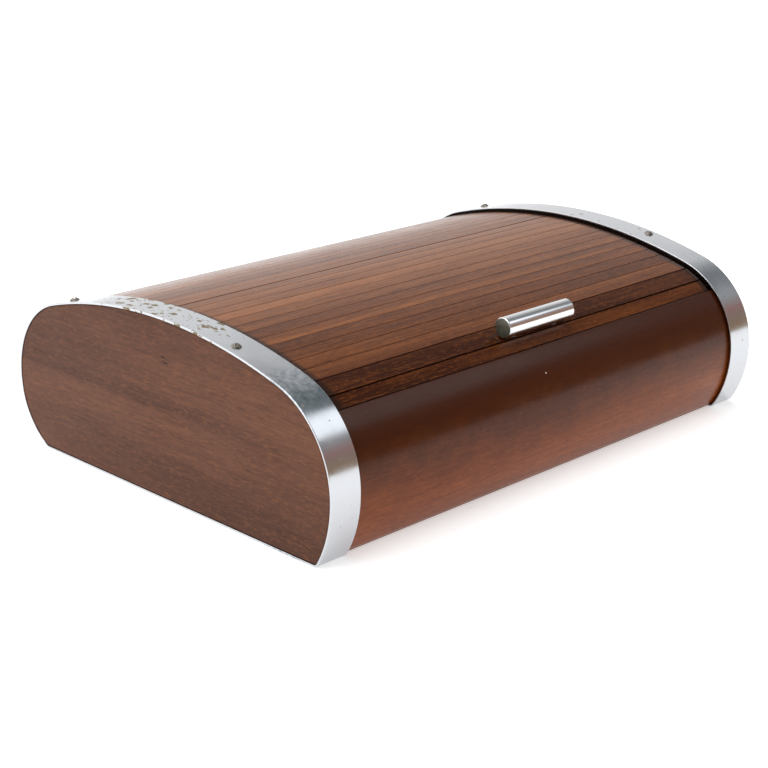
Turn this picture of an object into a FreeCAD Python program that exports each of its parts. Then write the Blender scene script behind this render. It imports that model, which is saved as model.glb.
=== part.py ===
import FreeCAD, Part
import math
import os

os.makedirs("parts", exist_ok=True)

# Roll-top bread box. Millimetres, +Z up, front towards -Y, standing on Z = 0.
# The end panels and the metal hoops share one outline made of tangent arcs.

# ---- overall outline (outer surface of the hoops) ----
BOX_W = 420.0
TOP_R = 406.2
TOP_Y, TOP_Z = 2.3, -283.8
BOX_DEEP = 317.0
FRONT_SHOULDER_R, FRONT_LOWER_R = 63.1, 81.3
BACK_SHOULDER_R, BACK_LOWER_R = 62.8, 53.5
FRONT_CORNER_R = 5.0
BACK_CORNER_R = 9.0

# ---- end panels and hoops ----
BAND_T = 1.4
BAND_W = 23.4
CHEEK_IN = 193.0
CHEEK_OUT = 209.6
CHEEK_EDGE_R = 1.3
SEAT_GAP = 0.05

# ---- fixed panels, as depths below the outer surface of the hoops ----
FRONT_OUT, FRONT_IN = 2.6, 12.6
FRONT_TOP_DEG = 45.1
FRONT_LIP_DEG = 45.9
BACK_OUT, BACK_IN = 1.6, 5.6
BACK_TOP_DEG = 46.5
PANEL_HALF = 192.95
FLOOR_LOW, FLOOR_HIGH = 2.6, 10.6

# ---- sliding shutter ----
SLAT_DEPTH = 6.0
SLAT_T = 6.0
SLAT_HALF = 184.0
SLAT_RELIEF = 0.8
KERF = 0.7
CROWN = 0.25
EDGE_R = 0.9
LEAD_PITCH, HANDLE_PITCH, THIRD_PITCH, PITCH = 9.60, 13.40, 12.40, 10.95
SLAT_COUNT = 25
BACK_TRACK_Y, BACK_TRACK_R = 96.50, 43.50
CANVAS_T = 0.8
CANVAS_HALF = 198.0
CANVAS_HEAD_DEG = 1.6
GROOVE_W = 1.8
GROOVE_DEEP = 6.0
TRAVEL_DEG = 15.0

# ---- handle ----
BAR_R, BAR_LEN = 6.9, 64.0
BAR_LIFT = 0.8
BAR_SHIFT = -2.4
POST_X = 20.0
POST_R = 4.0
BOLT_R = 1.95

# ---- screws ----
SCREW_X = 202.0
SCREW_Y_FRONT, SCREW_Y_BACK = -68.7, 97.8
SCREW_HEAD_R, SCREW_HEAD_H = 3.4, 2.0
SCREW_R, SCREW_LEN = 1.5, 15.0
SUNK_Y = (-95.0, 95.0)


def under_top(y, radius, depth=0.0):
    """(y, z, radius) of an arc that runs smoothly into the top arc from inside."""
    reach = TOP_R - depth - radius
    return y, TOP_Z + math.sqrt(reach ** 2 - (y - TOP_Y) ** 2), radius


FRONT_SHOULDER = under_top(-0.5 * BOX_DEEP + FRONT_SHOULDER_R, FRONT_SHOULDER_R)
FRONT_LOWER = (-0.5 * BOX_DEEP + FRONT_LOWER_R, FRONT_SHOULDER[1], FRONT_LOWER_R)
BACK_SHOULDER = under_top(0.5 * BOX_DEEP - BACK_SHOULDER_R, BACK_SHOULDER_R)
BACK_LOWER = (0.5 * BOX_DEEP - BACK_LOWER_R, BACK_SHOULDER[1], BACK_LOWER_R)
BACK_TRACK = under_top(BACK_TRACK_Y, BACK_TRACK_R, SLAT_DEPTH)


def vec(x, y, z):
    return FreeCAD.Vector(x, y, z)


def point(centre, radius, deg, x=0.0):
    a = math.radians(deg)
    return vec(x, centre[0] + radius * math.cos(a), centre[1] + radius * math.sin(a))


def arc(centre, radius, deg0, deg1, x=0.0):
    mid = 0.5 * (deg0 + deg1)
    pts = [point(centre, radius, d, x) for d in (deg0, mid, deg1)]
    return Part.Arc(pts[0], pts[1], pts[2]).toShape()


def line(a, b):
    return Part.makeLine(a, b)


def prism(edges, x0, x1):
    """Solid between x0 and x1 whose section is the closed chain of edges drawn at x = 0."""
    wire = Part.Wire(Part.__sortEdges__(edges))
    face = Part.Face(wire)
    face.translate(vec(x0, 0, 0))
    return face.extrude(vec(x1 - x0, 0, 0))


def tangent_deg(centre):
    """Angle, seen from the top arc's centre, where an inner arc meets the top arc."""
    return math.degrees(math.atan2(centre[1] - TOP_Z, centre[0] - TOP_Y))


FRONT_TAN = tangent_deg(FRONT_SHOULDER)
BACK_TAN = tangent_deg(BACK_SHOULDER)
TRACK_TAN = tangent_deg(BACK_TRACK)
TOP = (TOP_Y, TOP_Z)


def outline(depth, x0, x1, front_r, back_r):
    """The whole end outline, drawn a given depth inside the hoops' outer surface."""
    rf = FRONT_LOWER[2] - depth
    rb = BACK_LOWER[2] - depth
    foot_f = 180.0 + math.degrees(math.asin((FRONT_LOWER[1] - depth) / rf))
    foot_b = -math.degrees(math.asin((BACK_LOWER[1] - depth) / rb))
    edges = [
        arc(FRONT_LOWER, rf, foot_f, 180.0),
        arc(FRONT_SHOULDER, FRONT_SHOULDER[2] - depth, 180.0, FRONT_TAN),
        arc(TOP, TOP_R - depth, FRONT_TAN, BACK_TAN),
        arc(BACK_SHOULDER, BACK_SHOULDER[2] - depth, BACK_TAN, 0.0),
        arc(BACK_LOWER, rb, 0.0, foot_b),
        line(point(BACK_LOWER, rb, foot_b), point(FRONT_LOWER, rf, foot_f)),
    ]
    body = prism(edges, x0, x1)
    for corner, radius in (((FRONT_LOWER, rf, foot_f), front_r), ((BACK_LOWER, rb, foot_b), back_r)):
        at = point(*corner)
        near = []
        for e in body.Edges:
            c = e.CenterOfMass
            if abs(c.y - at.y) < 0.01 and abs(c.z - at.z) < 0.01 and e.Length > abs(x1 - x0) - 0.01:
                near.append(e)
        body = body.makeFillet(radius, near)
    return body


# ---- the path of the shutter: pieces of (centre, radius, start, end), then a flat run ----
def track(depth_shift=0.0):
    """Arcs of the shutter's middle line, moved inwards by depth_shift."""
    r = SLAT_DEPTH + depth_shift
    return [
        (FRONT_SHOULDER, FRONT_SHOULDER[2] - r, 180.0 - FRONT_TOP_DEG, FRONT_TAN),
        (TOP, TOP_R - r, FRONT_TAN, TRACK_TAN),
        (BACK_TRACK, BACK_TRACK[2] - depth_shift, TRACK_TAN, -90.0),
    ]


def on_track(s):
    """Point and direction (degrees from +Y) at distance s along the middle line."""
    for centre, radius, a0, a1 in track():
        length = math.radians(a0 - a1) * radius
        if s <= length:
            a = a0 - math.degrees(s / radius)
            return point(centre, radius, a), a - 90.0
        s -= length
    low = point(BACK_TRACK, BACK_TRACK[2], -90.0)
    return low - vec(0, s, 0), -180.0


def deg_on_back(s):
    """Angle on the back arc of the track at distance s along the middle line."""
    for centre, radius, a0, a1 in track()[:2]:
        s -= math.radians(a0 - a1) * radius
    return TRACK_TAN - math.degrees(s / BACK_TRACK[2])


PITCHES = [LEAD_PITCH, HANDLE_PITCH, THIRD_PITCH] + [PITCH] * (SLAT_COUNT - 3)
START = 1.3
SHUTTER_LEN = START + sum(PITCHES)


def slat_place(i):
    """Middle point and direction of slat i, counted from the front."""
    return on_track(START + sum(PITCHES[:i]) + 0.5 * PITCHES[i])


def set_at(shape, place):
    """Puts a shape drawn with Y along the path and Z outwards at a place on the track."""
    at, deg = place
    shape.rotate(vec(0, 0, 0), vec(1, 0, 0), deg)
    shape.translate(at)
    return shape


def slat(pitch):
    """One slat: flat back, eased edges, faintly crowned front face."""
    top = 0.5 * SLAT_T
    half = 0.5 * (pitch - KERF)
    foot = half - SLAT_RELIEF
    shoulder_y = half - EDGE_R
    shoulder_z = top - CROWN
    bend = EDGE_R * (1.0 - math.sqrt(0.5))
    p = {
        "foot_l": vec(0, -foot, -top),
        "foot_r": vec(0, foot, -top),
        "side_r": vec(0, half, shoulder_z - EDGE_R),
        "bend_r": vec(0, half - bend, shoulder_z - bend),
        "edge_r": vec(0, shoulder_y, shoulder_z),
        "crown": vec(0, 0, top),
        "edge_l": vec(0, -shoulder_y, shoulder_z),
        "bend_l": vec(0, -half + bend, shoulder_z - bend),
        "side_l": vec(0, -half, shoulder_z - EDGE_R),
    }
    edges = [
        line(p["foot_l"], p["foot_r"]),
        line(p["foot_r"], p["side_r"]),
        Part.Arc(p["side_r"], p["bend_r"], p["edge_r"]).toShape(),
        Part.Arc(p["edge_r"], p["crown"], p["edge_l"]).toShape(),
        Part.Arc(p["edge_l"], p["bend_l"], p["side_l"]).toShape(),
        line(p["side_l"], p["foot_l"]),
    ]
    return prism(edges, -SLAT_HALF, SLAT_HALF)


def ribbon(depth0, depth1, x0, x1, end_s, run_on=0.0, head=0.0):
    """A strip following the track between two depths, with an optional flat run on the floor."""
    end = deg_on_back(end_s) if run_on == 0.0 else -90.0
    rows = []
    for shift in (depth0, depth1):
        parts = track(shift)
        parts[0] = (parts[0][0], parts[0][1], parts[0][2] - head, parts[0][3])
        parts[2] = (parts[2][0], parts[2][1], parts[2][2], end)
        rows.append(parts)
    outer = [arc(c, r, a0, a1) for c, r, a0, a1 in rows[0]]
    inner = [arc(c, r, a0, a1) for c, r, a0, a1 in rows[1]]
    heads = [point(c, r, a0) for c, r, a0, a1 in (rows[0][0], rows[1][0])]
    tails = [point(c, r, a1) for c, r, a0, a1 in (rows[0][2], rows[1][2])]
    edges = outer + inner + [line(heads[0], heads[1])]
    if run_on > 0.0:
        far = [t - vec(0, run_on, 0) for t in tails]
        edges += [line(tails[0], far[0]), line(far[0], far[1]), line(far[1], tails[1])]
    else:
        edges.append(line(tails[0], tails[1]))
    return prism(edges, x0, x1)


# ---- screws, drawn along -Z with the underside of the head at Z = 0 ----
def round_screw():
    head = Part.makeSphere(SCREW_HEAD_R * 1.15, vec(0, 0, SCREW_HEAD_H - SCREW_HEAD_R * 1.15))
    rim = Part.makeCylinder(SCREW_HEAD_R, SCREW_HEAD_H + 1.0)
    head = head.common(rim)
    slot = Part.makeBox(8.0, 1.0, 1.2, vec(-4.0, -0.5, SCREW_HEAD_H - 1.1))
    shank = Part.makeCylinder(SCREW_R, SCREW_LEN, vec(0, 0, -SCREW_LEN + 0.1))
    return head.cut(slot).fuse(shank).removeSplitter()


def sunk_screw(length):
    head = Part.makeCone(SCREW_R, 3.1, 1.7, vec(0, 0, -1.7))
    slot = Part.makeBox(8.0, 0.8, 0.8, vec(-4.0, -0.4, -0.7))
    shank = Part.makeCylinder(SCREW_R, length, vec(0, 0, -length))
    return head.fuse(shank).cut(slot).removeSplitter()


def top_point(y, depth):
    """Point and outward direction (degrees from +Z about X) on the outline above a given Y."""
    for centre, radius in ((TOP, TOP_R), (FRONT_SHOULDER, FRONT_SHOULDER[2]), (BACK_SHOULDER, BACK_SHOULDER[2])):
        a = math.degrees(math.acos((y - centre[0]) / radius)) if abs(y - centre[0]) <= radius else None
        if a is None:
            continue
        inside = {TOP: BACK_TAN <= a <= FRONT_TAN}.get(centre, True)
        if inside:
            return point(centre, radius - depth, a), a - 90.0
    return None


def band_screws(side):
    """Two round-head screws on top of a hoop and two sunk ones under it."""
    solids = []
    for y in (SCREW_Y_FRONT, SCREW_Y_BACK):
        at, tilt = top_point(y, 0.0)
        s = round_screw()
        s.rotate(vec(0, 0, 0), vec(0, 0, 1), 35.0 if y < 0 else 62.0)
        s.rotate(vec(0, 0, 0), vec(1, 0, 0), tilt)
        s.translate(at + vec(side * SCREW_X, 0, 0))
        solids.append(s)
    for y in SUNK_Y:
        s = sunk_screw(SCREW_LEN)
        s.rotate(vec(0, 0, 0), vec(1, 0, 0), 180.0)
        s.translate(vec(side * SCREW_X, y, 0.15))
        solids.append(s)
    return solids


def screw_bores(side, play):
    """Clearance for the hoop screws: shanks everywhere, cones underneath."""
    tools = []
    for y in (SCREW_Y_FRONT, SCREW_Y_BACK):
        at, tilt = top_point(y, 0.0)
        c = Part.makeCylinder(SCREW_R + play, SCREW_LEN + 2.0, vec(0, 0, -SCREW_LEN - 1.0))
        c.rotate(vec(0, 0, 0), vec(1, 0, 0), tilt)
        c.translate(at + vec(side * SCREW_X, 0, 0))
        tools.append(c)
    for y in SUNK_Y:
        c = Part.makeCylinder(SCREW_R + play, SCREW_LEN + 1.0, vec(side * SCREW_X, y, 0.0))
        k = Part.makeCone(3.1 + play + 0.15, SCREW_R + play, 1.7 + 0.15, vec(side * SCREW_X, y, 0.0))
        tools.append(c.fuse(k))
    return tools


# ---- end panels: wooden boards with a groove for the shutter's canvas ----
def cheek(side):
    x0, x1 = sorted((side * CHEEK_IN, side * CHEEK_OUT))
    body = outline(BAND_T + SEAT_GAP, x0, x1, FRONT_CORNER_R - BAND_T, BACK_CORNER_R - BAND_T)
    rim = [e for e in body.Edges if abs(e.BoundBox.XMin - side * CHEEK_OUT) < 0.01
           and abs(e.BoundBox.XMax - side * CHEEK_OUT) < 0.01]
    body = body.makeFillet(CHEEK_EDGE_R, rim)
    g0, g1 = sorted((side * (CHEEK_IN - 1.0), side * (CHEEK_IN + GROOVE_DEEP)))
    mid = 0.5 * (SLAT_T + CANVAS_T)
    groove = ribbon(mid - 0.5 * GROOVE_W, mid + 0.5 * GROOVE_W, g0, g1, SHUTTER_LEN, 14.0)
    body = body.cut(groove)
    for tool in screw_bores(side, 0.0):
        body = body.cut(tool)
    at = stop_place()
    hole = Part.makeCylinder(3.0, 7.5, vec(side * (CHEEK_IN - 0.5), at.y, at.z), vec(side, 0, 0))
    return body.cut(hole)


def band(side):
    x0, x1 = sorted((side * (0.5 * BOX_W - BAND_W), side * 0.5 * BOX_W))
    outer = outline(0.0, x0, x1, FRONT_CORNER_R, BACK_CORNER_R)
    inner = outline(BAND_T, x0 - 1.0, x1 + 1.0, FRONT_CORNER_R - BAND_T, BACK_CORNER_R - BAND_T)
    body = outer.cut(inner)
    for tool in screw_bores(side, 0.05):
        body = body.cut(tool)
    return body


# ---- fixed wooden panels ----
def front_panel():
    foot = FLOOR_LOW - 1.0
    edges = []
    ends = []
    for depth in (FRONT_OUT, FRONT_IN):
        r = FRONT_LOWER[2] - depth
        low = 180.0 + math.degrees(math.asin((FRONT_LOWER[1] - foot) / r))
        shoulder_r = FRONT_SHOULDER[2] - depth
        edges.append(arc(FRONT_LOWER, r, low, 180.0))
        edges.append(arc(FRONT_SHOULDER, shoulder_r, 180.0, 180.0 - FRONT_LIP_DEG))
        ends.append((point(FRONT_LOWER, r, low), point(FRONT_SHOULDER, shoulder_r, 180.0 - FRONT_LIP_DEG)))
    edges.append(line(ends[0][0], ends[1][0]))
    edges.append(line(ends[0][1], ends[1][1]))
    body = prism(edges, -PANEL_HALF, PANEL_HALF)
    lip = [e for e in body.Edges if e.Length > 2 * PANEL_HALF - 0.1 and e.CenterOfMass.z > ends[0][1].z - 0.01]
    return body.makeFillet(0.6, lip)


def back_panel():
    foot = FLOOR_LOW + 0.9
    edges = []
    ends = []
    for depth in (BACK_OUT, BACK_IN):
        r = BACK_LOWER[2] - depth
        low = -math.degrees(math.asin((BACK_LOWER[1] - foot) / r))
        shoulder_r = BACK_SHOULDER[2] - depth
        edges.append(arc(BACK_LOWER, r, low, 0.0))
        edges.append(arc(BACK_SHOULDER, shoulder_r, 0.0, BACK_TOP_DEG))
        ends.append((point(BACK_LOWER, r, low), point(BACK_SHOULDER, shoulder_r, BACK_TOP_DEG)))
    edges.append(line(ends[0][0], ends[1][0]))
    edges.append(line(ends[0][1], ends[1][1]))
    return prism(edges, -PANEL_HALF, PANEL_HALF)


def floor_panel():
    rf = FRONT_LOWER[2] - FRONT_IN - SEAT_GAP
    rb = BACK_LOWER[2] - BACK_IN - SEAT_GAP
    f = [180.0 + math.degrees(math.asin((FRONT_LOWER[1] - z) / rf)) for z in (FLOOR_LOW, FLOOR_HIGH)]
    b = [-math.degrees(math.asin((BACK_LOWER[1] - z) / rb)) for z in (FLOOR_LOW + 3.0, FLOOR_HIGH)]
    back_low = point(BACK_LOWER, rb, b[0])
    under = vec(0, back_low.y - 8.0, FLOOR_LOW)
    edges = [
        arc(FRONT_LOWER, rf, f[0], f[1]),
        line(point(FRONT_LOWER, rf, f[1]), point(BACK_LOWER, rb, b[1])),
        arc(BACK_LOWER, rb, b[1], b[0]),
        line(back_low, under),
        line(under, point(FRONT_LOWER, rf, f[0])),
    ]
    body = prism(edges, -PANEL_HALF, PANEL_HALF)
    for x, y in floor_screw_spots():
        body = body.cut(Part.makeCylinder(SCREW_R, 5.0, vec(x, y, FLOOR_HIGH - 4.0)))
    return body


# ---- strips glued and screwed into the corners ----
CLEAT = 12.0
CLEAT_Y = (-112.0, 58.0)
CLEAT_X = 181.0


def floor_screw_spots():
    spots = []
    for side in (-1, 1):
        for y in (CLEAT_Y[0] + 20.0, 0.5 * (CLEAT_Y[0] + CLEAT_Y[1]), CLEAT_Y[1] - 20.0):
            spots.append((side * (CLEAT_X + 4.5), y))
    return spots


def side_cleat(side):
    base = FLOOR_HIGH + SEAT_GAP
    x0 = min(side * CLEAT_X, side * (CHEEK_IN - SEAT_GAP))
    body = Part.makeBox(CLEAT - SEAT_GAP, CLEAT_Y[1] - CLEAT_Y[0], CLEAT, vec(x0, CLEAT_Y[0], base))
    inner_top = []
    for e in body.Edges:
        c = e.CenterOfMass
        if abs(abs(c.x) - CLEAT_X) < 0.1 and abs(c.z - base - CLEAT) < 0.1 and e.Length > 100.0:
            inner_top.append(e)
    body = body.makeChamfer(3.0, inner_top)
    for x, y in floor_screw_spots():
        if x * side > 0:
            body = body.cut(Part.makeCylinder(SCREW_R + 0.05, 30.0, vec(x, y, base - 1.0)))
            body = body.cut(Part.makeCone(SCREW_R + 0.05, 3.3, 1.8, vec(x, y, base + CLEAT - 4.8)))
            body = body.cut(Part.makeCylinder(3.3, 8.0, vec(x, y, base + CLEAT - 3.0)))
    return body


def front_cleat():
    r = FRONT_LOWER[2] - FRONT_IN - SEAT_GAP
    base = FLOOR_HIGH + SEAT_GAP
    top = base + CLEAT
    d = [180.0 + math.degrees(math.asin((FRONT_LOWER[1] - z) / r)) for z in (base, top)]
    low = point(FRONT_LOWER, r, d[0])
    high = point(FRONT_LOWER, r, d[1])
    lip = vec(0, high.y + 3.0, top)
    toe = vec(0, low.y + CLEAT, base)
    edges = [arc(FRONT_LOWER, r, d[0], d[1]), line(high, lip), line(lip, toe), line(toe, low)]
    return prism(edges, -178.0, 178.0)


def cleat_screws():
    solids = []
    for x, y in floor_screw_spots():
        s = sunk_screw(11.0)
        s.translate(vec(x, y, FLOOR_HIGH + SEAT_GAP + CLEAT - 3.05))
        solids.append(s)
    return solids


# ---- dowels that end the groove under the back ----
def stop_place():
    travel = math.radians(TRAVEL_DEG) * (TOP_R - SLAT_DEPTH)
    at, deg = on_track(SHUTTER_LEN + travel)
    return at + vec(0, -3.3, 0)


def stop_dowels():
    at = stop_place()
    return [Part.makeCylinder(3.0, 20.0, vec(s * 180.0, at.y, at.z), vec(s, 0, 0)) for s in (-1, 1)]


# ---- handle: a turned steel bar on two collars, bolted through the second slat ----
def handle_axis():
    at, deg = slat_place(1)
    a = math.radians(deg)
    along = vec(0, math.cos(a), math.sin(a))
    out = vec(0, -math.sin(a), math.cos(a))
    return at, along, out


def handle_lift():
    return 0.5 * SLAT_T + BAR_LIFT + BAR_R


def handle_bolt_tool(radius, z0, z1):
    tools = []
    for x in (-POST_X, POST_X):
        c = Part.makeCylinder(radius, z1 - z0, vec(x, BAR_SHIFT, z0))
        tools.append(set_at(c, slat_place(1)))
    return tools


def handle_bar():
    bar = Part.makeCylinder(BAR_R, BAR_LEN, vec(-0.5 * BAR_LEN, BAR_SHIFT, handle_lift()), vec(1, 0, 0))
    rims = [e for e in bar.Edges if abs(abs(e.CenterOfMass.x) - 0.5 * BAR_LEN) < 0.01]
    bar = bar.makeChamfer(0.6, rims)
    bar = set_at(bar, slat_place(1))
    for tool in handle_bolt_tool(BOLT_R + 0.05, 0.0, handle_lift() + 1.0):
        bar = bar.cut(tool)
    return bar


def handle_collars():
    solids = []
    for x in (-POST_X, POST_X):
        low = 0.5 * SLAT_T - CROWN
        collar = Part.makeCylinder(POST_R, handle_lift() - low, vec(x, BAR_SHIFT, low))
        bar = Part.makeCylinder(BAR_R + 0.02, BAR_LEN, vec(-0.5 * BAR_LEN, BAR_SHIFT, handle_lift()), vec(1, 0, 0))
        bore = Part.makeCylinder(BOLT_R + 0.1, 20.0, vec(x, BAR_SHIFT, 0.0))
        collar = set_at(collar.cut(bar).cut(bore), slat_place(1))
        solids.append(collar.cut(set_at(slat(HANDLE_PITCH), slat_place(1))))
    return solids


def handle_bolts():
    solids = []
    under = -0.5 * SLAT_T - CANVAS_T - 0.6
    for x in (-POST_X, POST_X):
        head = Part.makeCylinder(3.4, 1.8, vec(x, BAR_SHIFT, under - 1.8))
        slot = Part.makeBox(8.0, 0.9, 0.9, vec(x - 4.0, BAR_SHIFT - 0.45, under - 1.9))
        shank = Part.makeCylinder(BOLT_R, handle_lift() - under, vec(x, BAR_SHIFT, under))
        solids.append(set_at(head.cut(slot).fuse(shank).removeSplitter(), slat_place(1)))
    return solids


def shutter_slat(i):
    body = set_at(slat(PITCHES[i]), slat_place(i))
    if i == 1:
        for tool in handle_bolt_tool(BOLT_R + 0.1, -10.0, 10.0):
            body = body.cut(tool)
    return body


def canvas():
    low = 0.5 * SLAT_T + 0.05
    body = ribbon(low, low + CANVAS_T, -CANVAS_HALF, CANVAS_HALF, SHUTTER_LEN - 0.5, head=CANVAS_HEAD_DEG)
    for tool in handle_bolt_tool(BOLT_R + 0.2, -12.0, 10.0):
        body = body.cut(tool)
    return body


# ---- write every piece ----
pieces = {
    "left_cheek": cheek(-1),
    "right_cheek": cheek(1),
    "left_band": band(-1),
    "right_band": band(1),
    "left_band_screws": Part.makeCompound(band_screws(-1)),
    "right_band_screws": Part.makeCompound(band_screws(1)),
    "front_panel": front_panel(),
    "back_panel": back_panel(),
    "floor_panel": floor_panel(),
    "left_cleat": side_cleat(-1),
    "right_cleat": side_cleat(1),
    "front_cleat": front_cleat(),
    "cleat_screws": Part.makeCompound(cleat_screws()),
    "stop_dowels": Part.makeCompound(stop_dowels()),
    "canvas": canvas(),
    "handle_bar": handle_bar(),
    "handle_collars": Part.makeCompound(handle_collars()),
    "handle_bolts": Part.makeCompound(handle_bolts()),
}
for number in range(SLAT_COUNT):
    pieces["slat_%02d" % (number + 1)] = shutter_slat(number)

for name in sorted(pieces):
    pieces[name].exportStep("parts/%s.step" % name)
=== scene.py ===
import bmesh
import bpy
import math
from mathutils import Matrix, Vector


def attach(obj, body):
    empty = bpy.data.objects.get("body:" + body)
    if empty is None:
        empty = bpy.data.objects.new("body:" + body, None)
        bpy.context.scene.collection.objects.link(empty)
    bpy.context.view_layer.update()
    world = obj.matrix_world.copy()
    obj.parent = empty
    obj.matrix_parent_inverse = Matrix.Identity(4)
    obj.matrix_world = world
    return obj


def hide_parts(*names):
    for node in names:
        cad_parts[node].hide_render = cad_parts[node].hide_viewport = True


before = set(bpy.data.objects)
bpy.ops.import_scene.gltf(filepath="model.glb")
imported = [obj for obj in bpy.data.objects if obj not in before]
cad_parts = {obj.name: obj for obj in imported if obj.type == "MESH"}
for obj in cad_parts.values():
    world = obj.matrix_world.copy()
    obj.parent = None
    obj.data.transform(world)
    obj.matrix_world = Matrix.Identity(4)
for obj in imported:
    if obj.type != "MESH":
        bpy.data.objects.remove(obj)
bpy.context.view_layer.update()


# ---------------------------------------------------------------------------
# The room: a pale table top that glows a little, a bright wall behind it, a
# dim side of tan and grey with one lamp in it, and two broad soft lights.
# ---------------------------------------------------------------------------
camera_data = bpy.data.cameras.new("camera")
camera_data.lens = 76.7
camera_data.sensor_width = 36.0
camera = bpy.data.objects.new("camera", camera_data)
bpy.context.scene.collection.objects.link(camera)
camera.location = (-0.78912, -0.78627, 0.40621)
aim = Vector((-0.00906, 0.0023, 0.02948))
camera.rotation_euler = (aim - camera.location).to_track_quat("-Z", "Y").to_euler()
bpy.context.scene.camera = camera
bpy.context.scene.view_settings.view_transform = "Standard"

TABLE_TONE, TABLE_GLOW = (0.85, 0.85, 0.85, 1.0), 0.52
WALL_LOW, WALL_HIGH, ZENITH = 0.98, 0.50, 1.1
# by height, what stands in front and to the right: tan, red-brown, grey, and the dark of the room above
ROOM_SIDE = [(0.0, (0.34, 0.22, 0.12)), (0.10, (0.35, 0.23, 0.15)), (0.20, (0.34, 0.25, 0.20)),
             (0.30, (0.42, 0.22, 0.20)), (0.42, (0.36, 0.37, 0.37)), (0.55, (0.30, 0.31, 0.32)),
             (0.72, (0.22, 0.25, 0.26))]
LAMP_WAY, LAMP_TONE = (0.606, -0.455, 0.652), (1.65, 1.7, 1.75, 1.0)
WALL_WAY = (0.25, 0.97, 0.0)
SUN_SPREAD, SUN_ENERGY, SUN_TILT = 96.0, 2.0, (-26.0, -14.0, 0.0)
FILL_PLACE, FILL_SIZE, FILL_ENERGY = (-2.1, 0.5, 0.8), 1.4, 16.0
TABLE_HALF, TABLE_DROP = 9.0, 0.0002


def put(tree, kind, setup=None, **sockets):
    """Adds one shader node; a socket value may be a number, a colour or another node's output."""
    node = tree.nodes.new(kind)
    for key, value in (setup or {}).items():
        setattr(node, key, value)
    for key, value in sockets.items():
        spot = node.inputs[int(key[1:])] if key[0] == "_" else node.inputs[key.replace("_", " ")]
        if isinstance(value, bpy.types.NodeSocket):
            tree.links.new(value, spot)
        else:
            spot.default_value = value
    return node


world = bpy.data.worlds.new("room")
world.use_nodes = True
bpy.context.scene.world = world
sky = world.node_tree
sky.nodes.clear()
way = put(sky, "ShaderNodeTexCoord").outputs["Generated"]
height = put(sky, "ShaderNodeSeparateXYZ", None, Vector=way).outputs["Z"]
fade = put(sky, "ShaderNodeMapRange", {"interpolation_type": "SMOOTHSTEP"}, Value=height, From_Min=0.42,
           From_Max=0.68, To_Min=WALL_LOW, To_Max=WALL_HIGH)
back = put(sky, "ShaderNodeVectorMath", {"operation": "DOT_PRODUCT"}, _0=way, _1=WALL_WAY)
share = put(sky, "ShaderNodeMapRange", {"interpolation_type": "SMOOTHSTEP"}, Value=back.outputs["Value"],
            From_Min=0.15, From_Max=0.50)
side = put(sky, "ShaderNodeValToRGB", None, Fac=height)
side.color_ramp.elements[0].color = (*ROOM_SIDE[0][1], 1.0)
side.color_ramp.elements[1].position = ROOM_SIDE[-1][0]
side.color_ramp.elements[1].color = (*ROOM_SIDE[-1][1], 1.0)
for at, tone in ROOM_SIDE[1:-1]:
    side.color_ramp.elements.new(at).color = (*tone, 1.0)
toward = put(sky, "ShaderNodeVectorMath", {"operation": "DOT_PRODUCT"}, _0=way, _1=LAMP_WAY)
lamp = put(sky, "ShaderNodeMapRange", {"interpolation_type": "SMOOTHSTEP"}, Value=toward.outputs["Value"],
           From_Min=0.965, From_Max=0.992)
front = put(sky, "ShaderNodeMix", {"data_type": "RGBA"}, Factor=lamp.outputs["Result"],
            _6=side.outputs["Color"], _7=LAMP_TONE)
wall = put(sky, "ShaderNodeMix", {"data_type": "RGBA"}, Factor=share.outputs["Result"], _6=front.outputs[2],
           _7=fade.outputs["Result"])
above = put(sky, "ShaderNodeMapRange", {"interpolation_type": "SMOOTHSTEP"}, Value=height, From_Min=0.85,
            From_Max=0.98)
light = put(sky, "ShaderNodeMix", {"data_type": "RGBA"}, Factor=above.outputs["Result"],
            _6=wall.outputs[2], _7=(ZENITH, ZENITH, ZENITH, 1.0))
glow = put(sky, "ShaderNodeBackground", None, Color=light.outputs[2], Strength=1.0)
put(sky, "ShaderNodeOutputWorld", None, Surface=glow.outputs["Background"])

sun_data = bpy.data.lights.new("overhead", "SUN")
sun_data.angle = math.radians(SUN_SPREAD)
sun_data.energy = SUN_ENERGY
sun = bpy.data.objects.new("overhead", sun_data)
bpy.context.scene.collection.objects.link(sun)
sun.rotation_euler = [math.radians(a) for a in SUN_TILT]
fill_data = bpy.data.lights.new("left_soft", "AREA")
fill_data.shape = "DISK"
fill_data.size = FILL_SIZE
fill_data.energy = FILL_ENERGY
fill = bpy.data.objects.new("left_soft", fill_data)
bpy.context.scene.collection.objects.link(fill)
fill.location = FILL_PLACE
fill.rotation_euler = (Vector((0.0, 0.0, 0.05)) - fill.location).to_track_quat("-Z", "Y").to_euler()

table_mesh = bmesh.new()
bmesh.ops.create_grid(table_mesh, x_segments=1, y_segments=1, size=TABLE_HALF)
bmesh.ops.translate(table_mesh, verts=table_mesh.verts, vec=(0.0, 0.0, -TABLE_DROP))
table_data = bpy.data.meshes.new("table_top")
table_mesh.to_mesh(table_data)
table_mesh.free()
table = bpy.data.objects.new("table_top", table_data)
bpy.context.scene.collection.objects.link(table)
table_paint = bpy.data.materials.new("table_paint")
table_paint.use_nodes = True
table_shader = table_paint.node_tree.nodes["Principled BSDF"]
table_shader.inputs["Base Color"].default_value = TABLE_TONE
table_shader.inputs["Roughness"].default_value = 0.9
table_shader.inputs["Emission Color"].default_value = (1.0, 1.0, 1.0, 1.0)
table_shader.inputs["Emission Strength"].default_value = TABLE_GLOW
table_data.materials.append(table_paint)


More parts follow.
